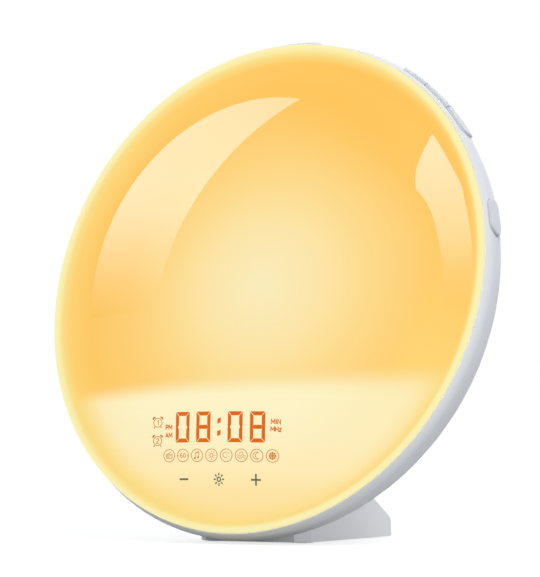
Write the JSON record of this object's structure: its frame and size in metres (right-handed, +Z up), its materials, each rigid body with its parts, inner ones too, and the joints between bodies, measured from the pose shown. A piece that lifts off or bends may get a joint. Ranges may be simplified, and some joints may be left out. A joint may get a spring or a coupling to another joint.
{
  "type": "sunrise alarm clock",
  "caption": "Round sunrise alarm clock with a domed light lens, a time display behind it, push buttons in the rim and a wedge stand.",
  "frame": {"origin": "centre of the clock's outer box at desk level, under the feet", "axes": "+X to the right seen from the front, -Y out of the front, towards the user, +Z up"},
  "size_m": [0.175, 0.0667, 0.1718],
  "materials": {
    "lens": "frosted translucent diffuser, lit from behind",
    "lit_print": "lit orange",
    "symbol_print": "lit orange",
    "key_print": "printed grey",
    "inner_white": "white, highly reflecting",
    "lamp_board": "white solder mask",
    "lamp_led": "yellow phosphor",
    "board_green": "green solder mask",
    "chip_black": "moulded black",
    "screw_steel": "zinc plated",
    "cell_steel": "bright can",
    "pad_grey": "conductive foam",
    "housing_white": "gloss white",
    "button_white": "satin off-white",
    "strip_amber": "flexible circuit",
    "stem_white": "plain",
    "basket_grey": "pressed and painted",
    "magnet_steel": "plated cup",
    "roll_rubber": "matt black",
    "cone_paper": "pressed paper",
    "jack_black": "moulded black",
    "pin_brass": "plated",
    "wire_black": "insulated wire",
    "stand_grey": "satin pale grey",
    "base_dark": "plain dark grey",
    "foot_rubber": "matt"
  },
  "bodies": {
    "clock": {"front_lens": "lens", "lit_segments": "lit_print", "symbol_windows": "symbol_print", "touch_key_prints": "key_print", "light_reflector": "inner_white", "light_baffle": "inner_white", "led_board": "lamp_board", "lamp_leds": "lamp_led", "lamp_screws": "screw_steel", "display_frame": "inner_white", "display_leds": "lamp_led", "touch_pads": "pad_grey", "main_board": "board_green", "board_chips": "chip_black", "board_screws": "screw_steel", "cell_holder": "chip_black", "backup_cell": "cell_steel", "rear_housing": "housing_white", "key_strip": "strip_amber", "key_switches": "chip_black", "speaker_frame": "basket_grey", "speaker_magnet": "magnet_steel", "speaker_surround": "roll_rubber", "speaker_screws": "screw_steel", "power_jack": "jack_black", "jack_pin": "pin_brass", "aerial_wire": "wire_black", "stand": "stand_grey", "stand_base": "base_dark", "stand_feet": "foot_rubber", "stand_screws": "screw_steel", "base_screws": "screw_steel"},
    "top_key": {"top_button": "button_white", "top_stem": "stem_white"},
    "upper_key": {"upper_button": "button_white", "upper_stem": "stem_white"},
    "middle_key": {"middle_button": "button_white", "middle_stem": "stem_white"},
    "lower_key": {"lower_button": "button_white", "lower_stem": "stem_white"},
    "side_key": {"side_button": "button_white", "side_stem": "stem_white"},
    "cone": {"speaker_cone": "cone_paper"}
  },
  "joints": [
    {"name": "top_press", "type": "slide", "parent": "clock", "child": "top_key", "axis": [0, -0.2521, -0.9677], "range_m": [0, 0.0006], "stiffness_N_per_m": 1500},
    {"name": "upper_press", "type": "slide", "parent": "clock", "child": "upper_key", "axis": [-0.564, -0.2081, -0.7991], "range_m": [0, 0.0006], "stiffness_N_per_m": 1500},
    {"name": "middle_press", "type": "slide", "parent": "clock", "child": "middle_key", "axis": [-0.6794, -0.185, -0.71], "range_m": [0, 0.0006], "stiffness_N_per_m": 1500},
    {"name": "lower_press", "type": "slide", "parent": "clock", "child": "lower_key", "axis": [-0.7801, -0.1577, -0.6055], "range_m": [0, 0.0006], "stiffness_N_per_m": 1500},
    {"name": "side_press", "type": "slide", "parent": "clock", "child": "side_key", "axis": [-0.9701, -0.0612, -0.2349], "range_m": [0, 0.0006], "stiffness_N_per_m": 1500},
    {"name": "cone_stroke", "type": "slide", "parent": "clock", "child": "cone", "axis": [0, -0.9677, 0.2521], "range_m": [-0.0004, 0.0004], "stiffness_N_per_m": 800}
  ]
}
